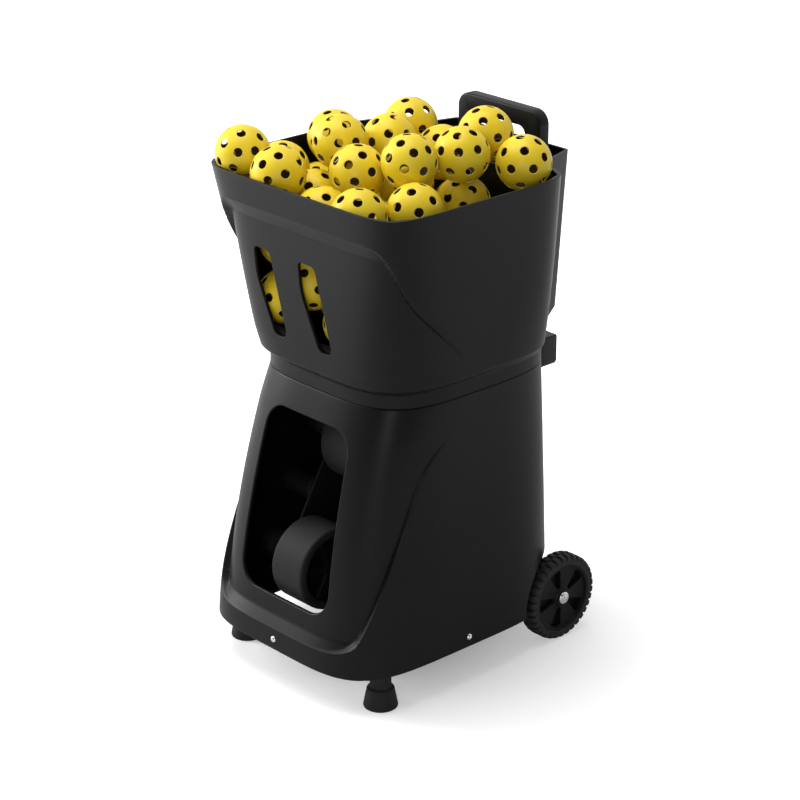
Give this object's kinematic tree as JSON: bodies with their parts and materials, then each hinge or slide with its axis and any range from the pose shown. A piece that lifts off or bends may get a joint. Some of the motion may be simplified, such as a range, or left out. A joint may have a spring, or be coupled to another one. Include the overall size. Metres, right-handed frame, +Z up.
{
  "type": "pickleball machine",
  "caption": "Wheeled pickleball throwing machine with a ball hopper, a feed carousel, a tilting and turning two-wheel launcher behind an outlet window, and a telescopic rear handle",
  "frame": {"origin": "on the ground, under the middle of the machine's overall length and width", "axes": "+Z up; -Y is the way the ball leaves, through the outlet window; +Y is the handle and wheel end; X runs along the wheel axle"},
  "size_m": [0.38, 0.4498, 0.7571],
  "materials": {
    "moulded_black": "fine matte moulded texture",
    "inner_black": "plain matte moulding",
    "soft_rubber": "matte",
    "tyre_rubber": "matte, two staggered rows of tread blocks",
    "throwing_rubber": "smooth, lightly worn",
    "wheel_plastic": "satin",
    "tray_steel": "powder coat",
    "motor_black": "satin",
    "bright_steel": "polished",
    "tube_aluminium": "drawn, satin",
    "battery_case": "matte",
    "ball_yellow": "satin"
  },
  "bodies": {
    "base": {"base_housing": "moulded_black", "hopper_shell": "moulded_black", "chassis_tray": "tray_steel", "front_foot_left": "soft_rubber", "front_foot_right": "soft_rubber", "axle_cap_left": "bright_steel", "axle_cap_right": "bright_steel", "rear_axle": "bright_steel", "housing_screw_front": "bright_steel", "housing_screw_left": "bright_steel", "housing_screw_right": "bright_steel", "hopper_floor": "inner_black", "feed_gearmotor": "motor_black", "ball_chute": "inner_black", "yaw_gearmotor": "motor_black", "battery_pack": "battery_case", "control_panel": "inner_black", "charge_socket": "bright_steel", "handle_bracket": "moulded_black", "handle_outer_tube_left": "tube_aluminium", "handle_outer_tube_right": "tube_aluminium", "ball_01": "ball_yellow", "ball_02": "ball_yellow", "ball_03": "ball_yellow", "ball_04": "ball_yellow", "ball_05": "ball_yellow", "ball_06": "ball_yellow", "ball_07": "ball_yellow", "ball_08": "ball_yellow", "ball_09": "ball_yellow", "ball_10": "ball_yellow", "ball_11": "ball_yellow", "ball_12": "ball_yellow", "ball_13": "ball_yellow", "ball_14": "ball_yellow", "ball_15": "ball_yellow", "ball_16": "ball_yellow", "ball_17": "ball_yellow", "ball_18": "ball_yellow", "ball_19": "ball_yellow", "ball_20": "ball_yellow", "ball_21": "ball_yellow", "ball_22": "ball_yellow", "ball_23": "ball_yellow"},
    "left_wheel": {"transport_rim_left": "wheel_plastic", "transport_tyre_left": "tyre_rubber"},
    "right_wheel": {"transport_rim_right": "wheel_plastic", "transport_tyre_right": "tyre_rubber"},
    "carousel": {"feed_carousel": "inner_black"},
    "yaw": {"yaw_turntable": "tray_steel", "pitch_gearmotor": "motor_black"},
    "cradle": {"launcher_cradle": "tray_steel", "lower_throwing_motor": "motor_black", "upper_throwing_motor": "motor_black"},
    "lower_wheel": {"lower_throwing_wheel": "throwing_rubber"},
    "upper_wheel": {"upper_throwing_wheel": "throwing_rubber"},
    "handle": {"handle_grip": "moulded_black", "handle_inner_tube_left": "tube_aluminium", "handle_inner_tube_right": "tube_aluminium"},
    "switch": {"power_switch": "wheel_plastic"}
  },
  "joints": [
    {"name": "left_wheel_spin", "type": "hinge", "parent": "base", "child": "left_wheel", "pos_m": [-0.155, 0.16294, 0.062], "axis": [1, 0, 0], "continuous": true},
    {"name": "right_wheel_spin", "type": "hinge", "parent": "base", "child": "right_wheel", "pos_m": [0.155, 0.16294, 0.062], "axis": [1, 0, 0], "continuous": true},
    {"name": "carousel_turn", "type": "hinge", "parent": "base", "child": "carousel", "pos_m": [0, 0.02094, 0.4146], "axis": [0, 0, 1], "continuous": true},
    {"name": "launcher_yaw", "type": "hinge", "parent": "base", "child": "yaw", "pos_m": [0, -0.01406, 0.112], "axis": [0, 0, 1], "range_deg": [-12, 12]},
    {"name": "launcher_pitch", "type": "hinge", "parent": "yaw", "child": "cradle", "pos_m": [0, -0.09606, 0.234], "axis": [-1, 0, 0], "range_deg": [-25, 3]},
    {"name": "lower_wheel_spin", "type": "hinge", "parent": "cradle", "child": "lower_wheel", "pos_m": [0, -0.14056, 0.15692], "axis": [1, 0, 0], "continuous": true},
    {"name": "upper_wheel_spin", "type": "hinge", "parent": "cradle", "child": "upper_wheel", "pos_m": [0, -0.05156, 0.31108], "axis": [1, 0, 0], "continuous": true},
    {"name": "handle_slide", "type": "slide", "parent": "base", "child": "handle", "axis": [0, 0, 1], "range_m": [0, 0.22]},
    {"name": "switch_rock", "type": "hinge", "parent": "base", "child": "switch", "pos_m": [-0.018, 0.17427, 0.245], "axis": [1, 0, 0], "range_deg": [0, 16]}
  ]
}
